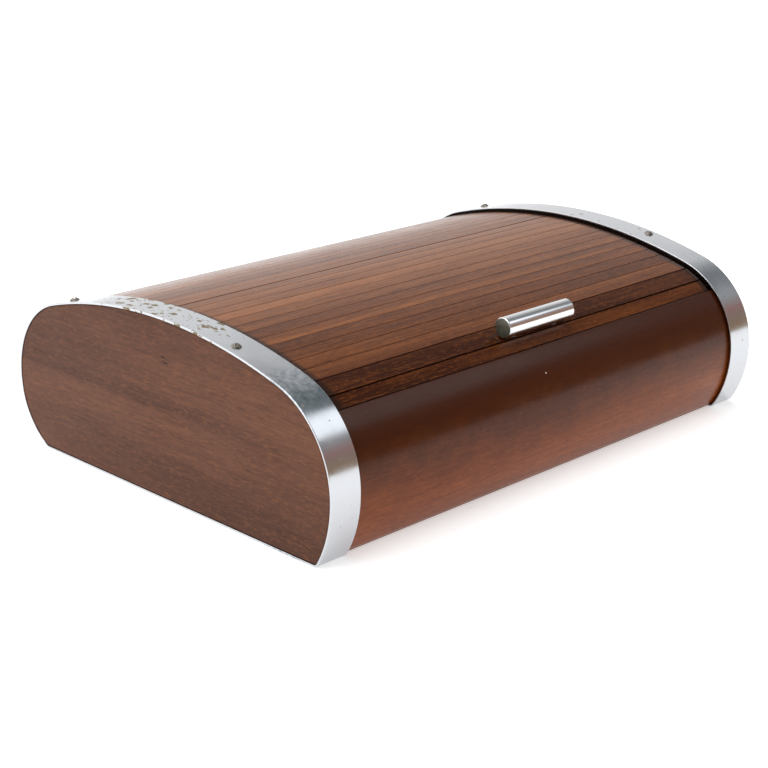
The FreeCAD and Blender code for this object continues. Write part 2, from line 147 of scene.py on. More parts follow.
# ---------------------------------------------------------------------------
# The end panels: solid mahogany boards sawn to a low D, grain running front
# to back, satin finish, with the canvas groove routed in their inner faces.
# ---------------------------------------------------------------------------
MM = 0.001
QUARTER = math.radians(90.0)


def new_material(name):
    """An empty material with its shader and output in place."""
    m = bpy.data.materials.new(name)
    m.use_nodes = True
    tree = m.node_tree
    tree.nodes.clear()
    shader = put(tree, "ShaderNodeBsdfPrincipled")
    put(tree, "ShaderNodeOutputMaterial", None, Surface=shader.outputs["BSDF"])
    return m, tree, shader


def make_group(name, inputs, outputs):
    """A node group with named sockets; gives the group, its input node and its output node."""
    group = bpy.data.node_groups.new(name, "ShaderNodeTree")
    kinds = {"v": "NodeSocketVector", "f": "NodeSocketFloat", "c": "NodeSocketColor"}
    for label, kind, value in inputs:
        socket = group.interface.new_socket(name=label, in_out="INPUT", socket_type=kinds[kind])
        if value is not None:
            socket.default_value = value
    for label, kind in outputs:
        group.interface.new_socket(name=label, in_out="OUTPUT", socket_type=kinds[kind])
    return group, group.nodes.new("NodeGroupInput"), group.nodes.new("NodeGroupOutput")


def grain_group():
    """Mahogany figure with the grain along X: broad bands, fine fibre, dark pores and a height."""
    g, a, z = make_group(
        "mahogany_grain",
        [("Vector", "v", None), ("Band Scale", "f", 1.0), ("Pore Amount", "f", 0.5)],
        [("Band", "f"), ("Fibre", "f"), ("Pore", "f"), ("Fleck", "f"), ("Height", "f")])

    def drawn_out(along, across):
        """The coordinates pulled out along the grain."""
        return put(g, "ShaderNodeVectorMath", {"operation": "MULTIPLY"}, _0=a.outputs["Vector"],
                   _1=(along, across, across)).outputs[0]

    wide = put(g, "ShaderNodeVectorMath", {"operation": "SCALE"}, _0=drawn_out(2.2, 42.0),
               Scale=a.outputs["Band Scale"])
    band = put(g, "ShaderNodeTexNoise", None, Vector=wide.outputs[0], Scale=1.0, Detail=4.0, Roughness=0.55,
               Distortion=0.5)
    fibre = put(g, "ShaderNodeTexNoise", None, Vector=drawn_out(26.0, 620.0), Scale=1.0, Detail=3.0,
                Roughness=0.6)
    speck = put(g, "ShaderNodeTexNoise", None, Vector=drawn_out(130.0, 1500.0), Scale=1.0, Detail=1.0,
                Roughness=0.4)
    edge = put(g, "ShaderNodeMapRange", {"interpolation_type": "SMOOTHSTEP"}, Value=speck.outputs["Fac"],
               From_Min=0.56, From_Max=0.68)
    pore = put(g, "ShaderNodeMath", {"operation": "MULTIPLY"}, _0=edge.outputs["Result"],
               _1=a.outputs["Pore Amount"])
    glint = put(g, "ShaderNodeTexNoise", None, Vector=drawn_out(210.0, 900.0), Scale=1.0, Detail=2.0,
                Roughness=0.5)
    fleck = put(g, "ShaderNodeMapRange", {"interpolation_type": "SMOOTHSTEP"}, Value=glint.outputs["Fac"],
                From_Min=0.52, From_Max=0.68)
    low = put(g, "ShaderNodeMath", {"operation": "MULTIPLY"}, _0=fibre.outputs["Fac"], _1=0.35)
    deep = put(g, "ShaderNodeMath", {"operation": "SUBTRACT"}, _0=low.outputs[0], _1=pore.outputs[0])
    g.links.new(band.outputs["Fac"], z.inputs["Band"])
    g.links.new(fibre.outputs["Fac"], z.inputs["Fibre"])
    g.links.new(pore.outputs[0], z.inputs["Pore"])
    g.links.new(fleck.outputs["Result"], z.inputs["Fleck"])
    g.links.new(deep.outputs[0], z.inputs["Height"])
    return g


def patch_group():
    """Soft uneven patches for polish, handling marks and dust."""
    g, a, z = make_group(
        "uneven_patches",
        [("Vector", "v", None), ("Scale", "f", 20.0), ("Low", "f", 0.0), ("High", "f", 1.0)],
        [("Value", "f")])
    cloud = put(g, "ShaderNodeTexNoise", None, Vector=a.outputs["Vector"], Scale=a.outputs["Scale"],
                Detail=5.0, Roughness=0.6)
    span = put(g, "ShaderNodeMapRange", None, Value=cloud.outputs["Fac"], From_Min=0.3, From_Max=0.7,
               To_Min=a.outputs["Low"], To_Max=a.outputs["High"])
    g.links.new(span.outputs["Result"], z.inputs["Value"])
    return g


GRAIN = grain_group()
PATCHES = patch_group()


def wood(name, dark, mid, light, turn=(0.0, 0.0, 0.0), band_scale=1.0, pores=0.5, flecks=0.3, fibre=0.45,
         gloss=(0.3, 0.45), coat=0.0, bump=0.15, shine=0.35, per_slat=False, stain_and_painted_shade=None):
    """A mahogany finish: three tones along the bands, fibre, pores, warm flecks and a polish that varies.

    The last argument is painted shade, given as (axis, from, to, strength, colour): a darkening towards that
    colour that grows between two places on that axis, in metres.
    """
    m, t, s = new_material(name)
    where = put(t, "ShaderNodeTexCoord").outputs["Object"]
    along = put(t, "ShaderNodeMapping", None, Vector=where, Rotation=turn).outputs["Vector"]
    if per_slat:
        cut = put(t, "ShaderNodeAttribute", {"attribute_name": "cut"}).outputs["Fac"]
        shift = put(t, "ShaderNodeCombineXYZ", None, X=cut, Y=cut, Z=cut)
        along = put(t, "ShaderNodeVectorMath", {"operation": "ADD"}, _0=along,
                    _1=shift.outputs[0]).outputs[0]
    grain = put(t, "ShaderNodeGroup", {"node_tree": GRAIN}, Vector=along, Band_Scale=band_scale,
                Pore_Amount=pores)
    mixed = put(t, "ShaderNodeMath", {"operation": "MULTIPLY_ADD"}, _0=grain.outputs["Fibre"], _1=fibre,
                _2=grain.outputs["Band"])
    if per_slat:
        own = put(t, "ShaderNodeAttribute", {"attribute_name": "tone"}).outputs["Fac"]
        mixed = put(t, "ShaderNodeMath", {"operation": "ADD"}, _0=mixed.outputs[0], _1=own)
    ramp = put(t, "ShaderNodeValToRGB", None, Fac=mixed.outputs[0])
    middle = 0.5 + 0.5 * fibre
    ramp.color_ramp.elements[0].position = middle - 0.25
    ramp.color_ramp.elements[0].color = (*dark, 1.0)
    ramp.color_ramp.elements[1].position = middle + 0.25
    ramp.color_ramp.elements[1].color = (*light, 1.0)
    ramp.color_ramp.elements.new(middle).color = (*mid, 1.0)
    warm = put(t, "ShaderNodeMath", {"operation": "MULTIPLY"}, _0=grain.outputs["Fleck"], _1=flecks)
    flecked = put(t, "ShaderNodeMix", {"data_type": "RGBA"}, Factor=warm.outputs[0],
                  _6=ramp.outputs["Color"], _7=(light[0] * 1.3, light[1] * 1.15, light[2] * 0.8, 1.0))
    poured = put(t, "ShaderNodeMix", {"data_type": "RGBA"}, Factor=grain.outputs["Pore"],
                 _6=flecked.outputs[2], _7=(dark[0] * 0.35, dark[1] * 0.3, dark[2] * 0.3, 1.0))
    face = poured.outputs[2]
    # Painted shade: the face is mixed towards a dark colour between two places along one axis, its edge made
    # ragged by soft patches.
    if stain_and_painted_shade:
        axis, start, end, strength, colour = stain_and_painted_shade
        place = put(t, "ShaderNodeSeparateXYZ", None, Vector=where).outputs[axis]
        place = put(t, "ShaderNodeMath", {"operation": "ABSOLUTE"}, _0=place)
        cloud = put(t, "ShaderNodeGroup", {"node_tree": PATCHES}, Vector=where, Scale=40.0, Low=-0.22,
                    High=0.22)
        ragged = put(t, "ShaderNodeMath", {"operation": "MULTIPLY_ADD"}, _0=cloud.outputs["Value"],
                     _1=0.5 * (end - start), _2=place.outputs[0])
        depth = put(t, "ShaderNodeMapRange", {"interpolation_type": "SMOOTHSTEP"}, Value=ragged.outputs[0],
                    From_Min=min(start, end), From_Max=max(start, end),
                    To_Min=0.0 if end > start else strength, To_Max=strength if end > start else 0.0)
        face = put(t, "ShaderNodeMix", {"data_type": "RGBA"}, Factor=depth.outputs["Result"], _6=face,
                   _7=(*colour, 1.0)).outputs[2]
    t.links.new(face, s.inputs["Base Color"])
    polish = put(t, "ShaderNodeGroup", {"node_tree": PATCHES}, Vector=where, Scale=26.0, Low=gloss[0],
                 High=gloss[1])
    t.links.new(polish.outputs["Value"], s.inputs["Roughness"])
    relief = put(t, "ShaderNodeBump", None, Strength=bump, Distance=0.0002, Height=grain.outputs["Height"])
    t.links.new(relief.outputs["Normal"], s.inputs["Normal"])
    s.inputs["Specular IOR Level"].default_value = shine
    s.inputs["Coat Weight"].default_value = coat
    s.inputs["Coat Roughness"].default_value = 0.13
    return m


def scratch(material, spot, reach, colour, cut):
    """Darkens or lightens short strokes of a finish near a spot (mm); None leaves an axis free."""
    t = material.node_tree
    shader = next(n for n in t.nodes if n.type == "BSDF_PRINCIPLED")
    below = shader.inputs["Base Color"].links[0].from_socket
    where = put(t, "ShaderNodeTexCoord").outputs["Object"]
    away = put(t, "ShaderNodeVectorMath", {"operation": "SUBTRACT"}, _0=where,
               _1=tuple((c or 0.0) * MM for c in spot))
    away = put(t, "ShaderNodeVectorMath", {"operation": "MULTIPLY"}, _0=away.outputs[0],
               _1=tuple(0.0 if c is None else 1.0 for c in spot))
    far = put(t, "ShaderNodeVectorMath", {"operation": "LENGTH"}, _0=away.outputs[0])
    near = put(t, "ShaderNodeMapRange", {"interpolation_type": "SMOOTHSTEP"}, Value=far.outputs["Value"],
               From_Min=0.4 * reach * MM, From_Max=reach * MM, To_Min=1.0, To_Max=0.0)
    drawn = put(t, "ShaderNodeVectorMath", {"operation": "MULTIPLY"}, _0=where, _1=(900.0, 240.0, 900.0))
    marks = put(t, "ShaderNodeTexNoise", None, Vector=drawn.outputs[0], Scale=1.0, Detail=2.0, Roughness=0.5)
    lines = put(t, "ShaderNodeMapRange", {"interpolation_type": "SMOOTHSTEP"}, Value=marks.outputs["Fac"],
                From_Min=cut, From_Max=cut + 0.06)
    both = put(t, "ShaderNodeMath", {"operation": "MULTIPLY"}, _0=near.outputs["Result"],
               _1=lines.outputs["Result"])
    worn = put(t, "ShaderNodeMix", {"data_type": "RGBA"}, Factor=both.outputs[0], _6=below,
               _7=(*colour, 1.0))
    t.links.new(worn.outputs[2], shader.inputs["Base Color"])


def dress(node, material):
    """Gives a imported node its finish."""
    node.data.materials.clear()
    node.data.materials.append(material)


# Painted shade: the end boards are painted nearly black inward of about 193.5 mm from the middle, over their
# inner faces, for the shade in the gap under the hoops.
cheek_finish = wood("cheek_mahogany", (0.042, 0.0150, 0.0080), (0.088, 0.033, 0.0180), (0.140, 0.057, 0.030),
                    turn=(0.0, 0.0, QUARTER), band_scale=0.55, pores=0.28, flecks=0.4, fibre=0.5,
                    gloss=(0.42, 0.5), bump=0.06, shine=0.13,
                    stain_and_painted_shade=("X", 0.1945, 0.1930, 1.0, (0.018, 0.010, 0.007)))
scratch(cheek_finish, (None, -6.2, 94.4), 7.5, (0.02, 0.009, 0.006), 0.56)
for side in ("left", "right"):
    dress(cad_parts[side + "_cheek"], cheek_finish)


# ---------------------------------------------------------------------------
# The metal hoops: chromed strip bent round each end board, its edges eased,
# joined under the box. Old plating, pitted brown along the top of the hoops.
# ---------------------------------------------------------------------------
TOP_R, TOP_Y, TOP_Z = 406.2, 2.3, -283.8
HALF_DEEP = 158.5
FRONT_SHOULDER_R, FRONT_LOWER_R = 63.1, 81.3
BACK_SHOULDER_R, BACK_LOWER_R = 62.8, 53.5
FRONT_CORNER_R, BACK_CORNER_R = 5.0, 9.0
BAND_W, BAND_T, BAND_EASE, HALF_WIDE = 23.4, 1.4, 0.38, 210.0
PITS_FROM_Z, PITS_FULL_Z = 0.098, 0.114
CLOUD_Y, CLOUD_CORE, CLOUD_REACH = -118.0, 6.0, 24.0
PLATE, CLOUDED = (0.55, 0.565, 0.59), (0.27, 0.31, 0.34)
HALO, RUST = (0.36, 0.33, 0.27), (0.15, 0.105, 0.045)


def under_top(y, radius, depth=0.0):
    """Centre (y, z) of an arc that runs smoothly into the top arc from inside, in mm."""
    reach = TOP_R - depth - radius
    return y, TOP_Z + math.sqrt(reach ** 2 - (y - TOP_Y) ** 2)


FRONT_SHOULDER = under_top(-HALF_DEEP + FRONT_SHOULDER_R, FRONT_SHOULDER_R)
FRONT_LOWER = (-HALF_DEEP + FRONT_LOWER_R, FRONT_SHOULDER[1])
BACK_SHOULDER = under_top(HALF_DEEP - BACK_SHOULDER_R, BACK_SHOULDER_R)
BACK_LOWER = (HALF_DEEP - BACK_LOWER_R, BACK_SHOULDER[1])
FRONT_LEAN = math.degrees(math.atan2(TOP_Y - FRONT_SHOULDER[0], FRONT_SHOULDER[1] - TOP_Z))
BACK_LEAN = math.degrees(math.atan2(BACK_SHOULDER[0] - TOP_Y, BACK_SHOULDER[1] - TOP_Z))


def sweep(bm, ring, legs):
    """Carries a ring of edges along straight runs and turns about centres of the end outline (mm)."""
    for leg in legs:
        if leg[0] == "run":
            edges = [g for g in ring if isinstance(g, bmesh.types.BMEdge)]
            ring = bmesh.ops.extrude_edge_only(bm, edges=edges)["geom"]
            moved = [v for v in ring if isinstance(v, bmesh.types.BMVert)]
            bmesh.ops.translate(bm, verts=moved, vec=(0.0, leg[1] * MM, leg[2] * MM))
        else:
            centre, degrees, step = leg[1], leg[2], leg[3]
            out = bmesh.ops.spin(bm, geom=ring, cent=(0.0, centre[0] * MM, centre[1] * MM),
                                 axis=(1.0, 0.0, 0.0), angle=-math.radians(degrees),
                                 steps=max(1, round(degrees / step)), use_merge=False)
            ring = out["geom_last"]
        ring = [g for g in ring if not isinstance(g, bmesh.types.BMFace)]
    return ring


def build(bm, name, material, body, stands_for=()):
    """Turns a bmesh into a finished piece with flat faces kept flat, riding on a body."""
    data = bpy.data.meshes.new(name)
    for f in bm.faces:
        f.smooth = True
    bm.to_mesh(data)
    bm.free()
    piece = bpy.data.objects.new(name, data)
    bpy.context.scene.collection.objects.link(piece)
    for one in (material if isinstance(material, (list, tuple)) else [material]):
        data.materials.append(one)
    even = piece.modifiers.new("even_normals", "WEIGHTED_NORMAL")
    even.weight = 100
    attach(piece, body)
    if stands_for:
        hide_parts(*stands_for)
    return piece


def corner(centre, arc_r, corner_r, side):
    """Centre and turn (degrees) of the small bend between a lower arc and the flat underside."""
    drop = centre[1] - corner_r
    span = math.sqrt((arc_r - corner_r) ** 2 - drop ** 2)
    return (centre[0] + side * span, corner_r), 90.0 - math.degrees(math.atan2(drop, span))


front_bend, front_bend_turn = corner(FRONT_LOWER, FRONT_LOWER_R, FRONT_CORNER_R, -1.0)
back_bend, back_bend_turn = corner(BACK_LOWER, BACK_LOWER_R, BACK_CORNER_R, 1.0)


def hoop(side):
    """One hoop: a strip with eased edges carried right round the end outline and closed underneath."""
    bm = bmesh.new()
    x_in, x_out = HALF_WIDE - BAND_W, HALF_WIDE
    spots = [(x_in, 0.0), (x_out, 0.0), (x_out, BAND_T), (x_in, BAND_T)]
    verts = [bm.verts.new((side * x * MM, 0.0, z * MM)) for x, z in spots]
    face = bm.faces.new(verts)
    bmesh.ops.bevel(bm, geom=list(face.verts), offset=BAND_EASE * MM, segments=3, profile=0.5,
                    affect="VERTICES", material=-1)
    bmesh.ops.delete(bm, geom=list(bm.faces), context="FACES_ONLY")
    ring = list(bm.edges) + list(bm.verts)
    sweep(bm, ring, [
        ("run", front_bend[0], 0.0),
        ("turn", front_bend, front_bend_turn, 8.0),
        ("turn", FRONT_LOWER, 90.0 - front_bend_turn, 2.0),
        ("turn", FRONT_SHOULDER, 90.0 - FRONT_LEAN, 2.5),
        ("turn", (TOP_Y, TOP_Z), FRONT_LEAN + BACK_LEAN, 0.6),
        ("turn", BACK_SHOULDER, 90.0 - BACK_LEAN, 2.5),
        ("turn", BACK_LOWER, 90.0 - back_bend_turn, 3.0),
        ("turn", back_bend, back_bend_turn, 8.0),
        ("run", -back_bend[0], 0.0),
    ])
    bmesh.ops.remove_doubles(bm, verts=bm.verts, dist=0.02 * MM)
    bmesh.ops.recalc_face_normals(bm, faces=bm.faces)
    return bm


def pitting_group():
    """Where old plating has let go: separate long specks, gathered where Gather is high."""
    g, a, z = make_group(
        "plating_pits",
        [("Vector", "v", None), ("Gather", "f", 0.0)],
        [("Pit", "f"), ("Halo", "f")])
    wobble = put(g, "ShaderNodeTexNoise", None, Vector=a.outputs["Vector"], Scale=320.0, Detail=3.0,
                 Roughness=0.6)
    bent = put(g, "ShaderNodeVectorMath", {"operation": "SCALE"}, _0=wobble.outputs["Color"], Scale=0.0055)
    moved = put(g, "ShaderNodeVectorMath", {"operation": "ADD"}, _0=a.outputs["Vector"], _1=bent.outputs[0])
    drawn = put(g, "ShaderNodeVectorMath", {"operation": "MULTIPLY"}, _0=moved.outputs[0],
                _1=(1.7, 0.9, 0.9))
    sizes = []
    for scale, rare, grow in ((150.0, 0.38, 0.95), (390.0, 0.55, 0.8)):
        cells = put(g, "ShaderNodeTexVoronoi", None, Vector=drawn.outputs[0], Scale=scale)
        pick = put(g, "ShaderNodeSeparateColor", None, Color=cells.outputs["Color"])
        left = put(g, "ShaderNodeMath", {"operation": "SUBTRACT"}, _0=pick.outputs[0], _1=rare)
        wide = put(g, "ShaderNodeMath", {"operation": "MULTIPLY"}, _0=left.outputs[0],
                   _1=a.outputs["Gather"])
        wide = put(g, "ShaderNodeMath", {"operation": "MULTIPLY"}, _0=wide.outputs[0], _1=grow)
        sizes.append(put(g, "ShaderNodeMath", {"operation": "SUBTRACT"}, _0=wide.outputs[0],
                         _1=cells.outputs["Distance"]))
    best = put(g, "ShaderNodeMath", {"operation": "MAXIMUM"}, _0=sizes[0].outputs[0], _1=sizes[1].outputs[0])
    pit = put(g, "ShaderNodeMapRange", {"interpolation_type": "SMOOTHSTEP"}, Value=best.outputs[0],
              From_Min=-0.01, From_Max=0.03)
    halo = put(g, "ShaderNodeMapRange", {"interpolation_type": "SMOOTHSTEP"}, Value=best.outputs[0],
               From_Min=-0.05, From_Max=0.0)
    g.links.new(pit.outputs["Result"], z.inputs["Pit"])
    g.links.new(halo.outputs["Result"], z.inputs["Halo"])
    return g


PITS = pitting_group()


def zone(tree, value, centre, core, reach):
    """1 within core of centre, easing to 0 at reach (mm)."""
    off = put(tree, "ShaderNodeMath", {"operation": "SUBTRACT"}, _0=value, _1=centre * MM)
    off = put(tree, "ShaderNodeMath", {"operation": "ABSOLUTE"}, _0=off.outputs[0])
    return put(tree, "ShaderNodeMapRange", {"interpolation_type": "SMOOTHSTEP"}, Value=off.outputs[0],
               From_Min=core * MM, From_Max=reach * MM, To_Min=1.0, To_Max=0.0).outputs["Result"]


def old_chrome(name, pit_y, pit_reach, strength, cloud):
    """Chrome plate with pits gathered on top of the hoop about pit_y, and a clouded spot on its shoulder."""
    m, t, s = new_material(name)
    where = put(t, "ShaderNodeTexCoord").outputs["Object"]
    xyz = put(t, "ShaderNodeSeparateXYZ", None, Vector=where)
    near = zone(t, xyz.outputs["Y"], pit_y, 0.5 * pit_reach, pit_reach)
    high = put(t, "ShaderNodeMapRange", {"interpolation_type": "SMOOTHSTEP"}, Value=xyz.outputs["Z"],
               From_Min=PITS_FROM_Z, From_Max=PITS_FULL_Z)
    both = put(t, "ShaderNodeMath", {"operation": "MULTIPLY"}, _0=near, _1=high.outputs["Result"])
    gather = put(t, "ShaderNodeMath", {"operation": "MULTIPLY_ADD"}, _0=both.outputs[0], _1=strength,
                 _2=0.18)
    pits = put(t, "ShaderNodeGroup", {"node_tree": PITS}, Vector=where, Gather=gather.outputs[0])
    spot = zone(t, xyz.outputs["Y"], CLOUD_Y, CLOUD_CORE, CLOUD_REACH)
    haze = put(t, "ShaderNodeGroup", {"node_tree": PATCHES}, Vector=where, Scale=300.0, Low=-0.2, High=1.1)
    haze = put(t, "ShaderNodeMath", {"operation": "MULTIPLY"}, _0=haze.outputs["Value"], _1=spot)
    haze = put(t, "ShaderNodeMath", {"operation": "MULTIPLY", "use_clamp": True}, _0=haze.outputs[0],
               _1=cloud)
    plate = put(t, "ShaderNodeMix", {"data_type": "RGBA"}, Factor=haze.outputs[0], _6=(*PLATE, 1.0),
                _7=(*CLOUDED, 1.0))
    dulled = put(t, "ShaderNodeMix", {"data_type": "RGBA"}, Factor=pits.outputs["Halo"], _6=plate.outputs[2],
                 _7=(*HALO, 1.0))
    rusted = put(t, "ShaderNodeMix", {"data_type": "RGBA"}, Factor=pits.outputs["Pit"], _6=dulled.outputs[2],
                 _7=(*RUST, 1.0))
    t.links.new(rusted.outputs[2], s.inputs["Base Color"])
    metal = put(t, "ShaderNodeMath", {"operation": "SUBTRACT"}, _0=1.0, _1=pits.outputs["Pit"])
    t.links.new(metal.outputs[0], s.inputs["Metallic"])
    wipe = put(t, "ShaderNodeGroup", {"node_tree": PATCHES}, Vector=where, Scale=45.0, Low=0.12, High=0.22)
    rough = put(t, "ShaderNodeMix", {"data_type": "FLOAT"}, Factor=pits.outputs["Halo"],
                A=wipe.outputs["Value"], B=0.5)
    t.links.new(rough.outputs["Result"], s.inputs["Roughness"])
    sunk = put(t, "ShaderNodeMath", {"operation": "MULTIPLY"}, _0=pits.outputs["Pit"], _1=-1.0)
    relief = put(t, "ShaderNodeBump", None, Strength=0.5, Distance=0.0002, Height=sunk.outputs[0])
    t.links.new(relief.outputs["Normal"], s.inputs["Normal"])
    return m


left_chrome = old_chrome("left_hoop_chrome", 5.0, 85.0, 0.95, 1.0)
right_chrome = old_chrome("right_hoop_chrome", -25.0, 60.0, 0.28, 0.2)
for side, sign, finish in (("left", -1.0, left_chrome), ("right", 1.0, right_chrome)):
    build(hoop(sign), side + "_hoop", finish, "case", [side + "_band"])


# ---------------------------------------------------------------------------
# The hoop screws: slotted round heads, steel gone dull and brown with age,
# driven through the hoops into the end boards.
# ---------------------------------------------------------------------------
def dull_steel(name, base, brown, rough):
    """Old bare metal, stained in patches and unevenly dull."""
    m, t, s = new_material(name)
    where = put(t, "ShaderNodeTexCoord").outputs["Object"]
    stain_and_painted_shade = put(t, "ShaderNodeGroup", {"node_tree": PATCHES}, Vector=where, Scale=520.0, Low=0.0, High=1.0)
    colour = put(t, "ShaderNodeMix", {"data_type": "RGBA"}, Factor=stain_and_painted_shade.outputs["Value"], _6=(*base, 1.0),
                 _7=(*brown, 1.0))
    t.links.new(colour.outputs[2], s.inputs["Base Color"])
    dull = put(t, "ShaderNodeGroup", {"node_tree": PATCHES}, Vector=where, Scale=380.0, Low=rough[0],
               High=rough[1])
    t.links.new(dull.outputs["Value"], s.inputs["Roughness"])
    s.inputs["Metallic"].default_value = 1.0
    relief = put(t, "ShaderNodeBump", None, Strength=0.3, Distance=0.0001, Height=stain_and_painted_shade.outputs["Value"])
    t.links.new(relief.outputs["Normal"], s.inputs["Normal"])
    return m


screw_finish = dull_steel("aged_screw_steel", (0.30, 0.28, 0.25), (0.09, 0.07, 0.05), (0.3, 0.5))
for node in ("left_band_screws", "right_band_screws", "cleat_screws", "handle_bolts"):
    dress(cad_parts[node], screw_finish)


# ---------------------------------------------------------------------------
# The fixed panels: bent mahogany ply, grain along the box, dark red-brown
# lacquer outside. The front one ends in an eased lip where the lid lands.
# ---------------------------------------------------------------------------
PANEL_HALF = 192.95
FRONT_OUT, FRONT_IN, FRONT_LIP = 2.6, 12.6, 46.2
BACK_OUT, BACK_IN, BACK_LIP = 1.6, 5.6, 46.5
FRONT_FOOT, BACK_FOOT, LIP_EASE = 1.6, 3.5, 0.6


def curved_panel(lower, lower_r, shoulder, depth_out, depth_in, foot, lip, side):
    """A panel bent round a lower arc and part of a shoulder arc."""
    bm = bmesh.new()
    ring = []
    rise = math.degrees(math.asin((lower[1] - foot) / (lower_r - depth_out)))
    a = math.radians(rise)
    for depth in (depth_out, depth_in):
        r = lower_r - depth
        ring.append((lower[0] + side * r * math.cos(a), lower[1] - r * math.sin(a)))
    (yo, zo), (yi, zi) = ring
    verts = [bm.verts.new((x * MM, y * MM, z * MM)) for x, y, z in (
        (-PANEL_HALF, yo, zo), (PANEL_HALF, yo, zo), (PANEL_HALF, yi, zi), (-PANEL_HALF, yi, zi))]
    bm.faces.new(verts)
    last = sweep(bm, list(bm.edges) + list(bm.verts), [
        ("turn", lower, -side * rise, -side * 2.0),
        ("turn", shoulder, -side * lip, -side * 2.0),
    ])
    rim = [e for e in last if isinstance(e, bmesh.types.BMEdge)]
    bmesh.ops.contextual_create(bm, geom=rim)
    long_rim = [e for e in rim if e.calc_length() > PANEL_HALF * MM]
    bmesh.ops.bevel(bm, geom=long_rim, offset=LIP_EASE * MM, segments=3, profile=0.5, affect="EDGES",
                    material=-1)
    bmesh.ops.recalc_face_normals(bm, faces=bm.faces)
    return bm


# Painted shade on both fixed panels: the lacquer is darkened from 12 mm above the floor upwards, most from
# 72 mm, leaving the lowest band lighter as if lit from the pale table.
panel_finish = wood("panel_lacquer", (0.128, 0.026, 0.0040), (0.205, 0.046, 0.0065), (0.290, 0.074, 0.013),
                    band_scale=0.7, pores=0.35, flecks=0.35, fibre=0.5, gloss=(0.18, 0.25), bump=0.06,
                    shine=0.19, stain_and_painted_shade=("Z", 0.012, 0.072, 0.90, (0.036, 0.0082, 0.0024)))
scratch(panel_finish, (-11.5, -148.5, 74.0), 0.75, (0.75, 0.70, 0.62), -1.0)
front_curve = curved_panel(FRONT_LOWER, FRONT_LOWER_R, FRONT_SHOULDER, FRONT_OUT, FRONT_IN, FRONT_FOOT,
                           FRONT_LIP, -1.0)
build(front_curve, "front_curve", panel_finish, "case", ["front_panel"])
back_curve = curved_panel(BACK_LOWER, BACK_LOWER_R, BACK_SHOULDER, BACK_OUT, BACK_IN, BACK_FOOT, BACK_LIP,
                          1.0)
build(back_curve, "back_curve", panel_finish, "case", ["back_panel"])


# ---------------------------------------------------------------------------
# The tambour: flat mahogany slats with eased edges and a faint crown, glued
# to canvas. A lead strip, a wide slat for the handle, then narrow ones, cut
# from different boards so that no two neighbours match.
# ---------------------------------------------------------------------------
SLAT_DEPTH, SLAT_T, SLAT_HALF = 6.0, 6.0, 184.0
RELIEF, CROWN, EASE = 0.8, 0.05, 0.18
TRACK_START, FIRST_GAP = 45.1, 1.3
PITCHES = [9.60, 13.40, 12.40] + [10.95] * 22
BACK_TRACK_Y, BACK_TRACK_R = 96.50, 43.50
BACK_TRACK = under_top(BACK_TRACK_Y, BACK_TRACK_R, SLAT_DEPTH)
TRACK_LEAN = math.degrees(math.atan2(BACK_TRACK[0] - TOP_Y, BACK_TRACK[1] - TOP_Z))
# each slat's board, lighter or darker than the rest
TONES = [-0.17, -0.20, 0.02, 0.00, -0.15, -0.02, 0.07, 0.08, -0.03, 0.13, 0.15, 0.12, 0.20, 0.08, 0.14, 0.06,
         0.10, 0.04, 0.12, 0.06, 0.09, 0.02, 0.08, 0.05, 0.03]
# the gap in front of each slat, and the one behind the last
KERFS = [0.2, 0.42, 0.4, 0.2, 0.26, 0.22, 0.12, 0.2, 0.15, 0.18, 0.12, 0.3, 0.14, 0.12, 1.0, 0.16, 0.22,
         0.15, 0.2, 0.15, 0.3, 0.2, 0.2, 0.2, 0.2, 0.4]


def on_track(s):
    """Matrix that sets a slat drawn at the origin (Y along the path, Z outwards) at distance s (mm)."""
    legs = (
        (FRONT_SHOULDER, FRONT_SHOULDER_R - SLAT_DEPTH, 180.0 - TRACK_START, 90.0 + FRONT_LEAN),
        ((TOP_Y, TOP_Z), TOP_R - SLAT_DEPTH, 90.0 + FRONT_LEAN, 90.0 - TRACK_LEAN),
        (BACK_TRACK, BACK_TRACK_R, 90.0 - TRACK_LEAN, -90.0),
    )
    for centre, radius, start, end in legs:
        length = math.radians(start - end) * radius
        if s <= length:
            a = math.radians(start) - s / radius
            y = centre[0] + radius * math.cos(a)
            z = centre[1] + radius * math.sin(a)
            return Matrix.Translation((0.0, y * MM, z * MM)) @ Matrix.Rotation(a - QUARTER, 4, "X")
        s -= length
    return Matrix.Identity(4)


SLAT_PLACES = [on_track(FIRST_GAP + sum(PITCHES[:i]) + 0.5 * PITCHES[i]) for i in range(len(PITCHES))]


def carrier(i):
    """Name of the body that slat i, counted from 0 at the front, belongs to."""
    if i == 0:
        return "lead_slat"
    if i == 1:
        return "handle_slat"
    return "shutter" if i < 13 else "tail_slat_%02d" % (i + 1)


